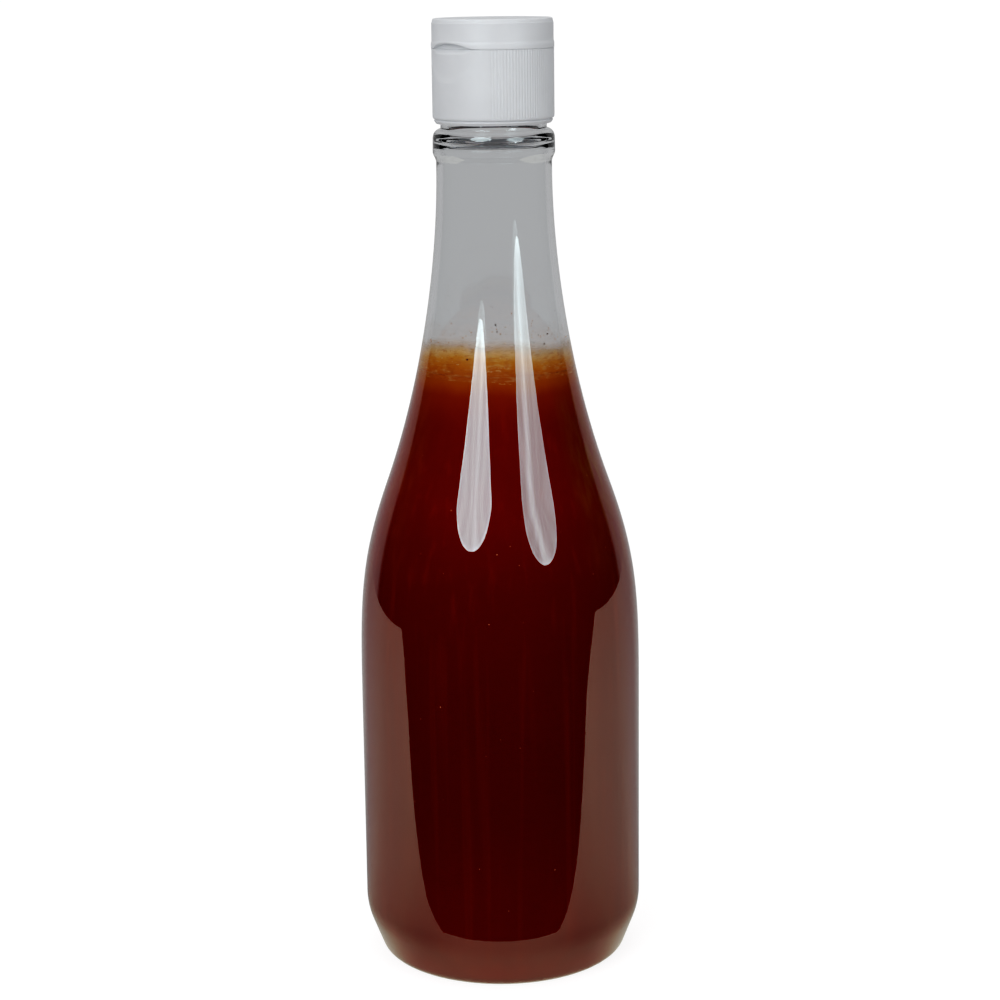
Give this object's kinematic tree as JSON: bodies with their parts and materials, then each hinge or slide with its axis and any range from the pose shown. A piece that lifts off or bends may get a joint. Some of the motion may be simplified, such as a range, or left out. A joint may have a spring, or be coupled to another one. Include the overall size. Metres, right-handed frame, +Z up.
{
  "type": "snap-cap plastic bottle",
  "caption": "Clear slender-necked plastic bottle of dark red sauce with a white ribbed snap cap whose lid flips open on a living hinge.",
  "frame": {"origin": "middle of the foot, on the surface that the bottle stands on", "axes": "+Z up along the bottle's axis; the thumb notch of the lid faces -Y and its hinge +Y"},
  "size_m": [0.0716, 0.0716, 0.2397],
  "materials": {
    "clear_plastic": "clear, smooth and glossy blown plastic",
    "sauce": "thick dark red sauce, wet, with a brown foamy edge at its level",
    "cap_plastic": "satin white moulded plastic"
  },
  "bodies": {
    "bottle_body": {"bottle": "clear_plastic", "sauce": "sauce", "cap_base": "cap_plastic"},
    "flip_lid": {"cap_lid": "cap_plastic"}
  },
  "joints": [
    {"name": "lid_hinge", "type": "hinge", "parent": "bottle_body", "child": "flip_lid", "pos_m": [0, 0.0139, 0.23265], "axis": [-1, 0, 0], "range_deg": [0, 150]}
  ]
}
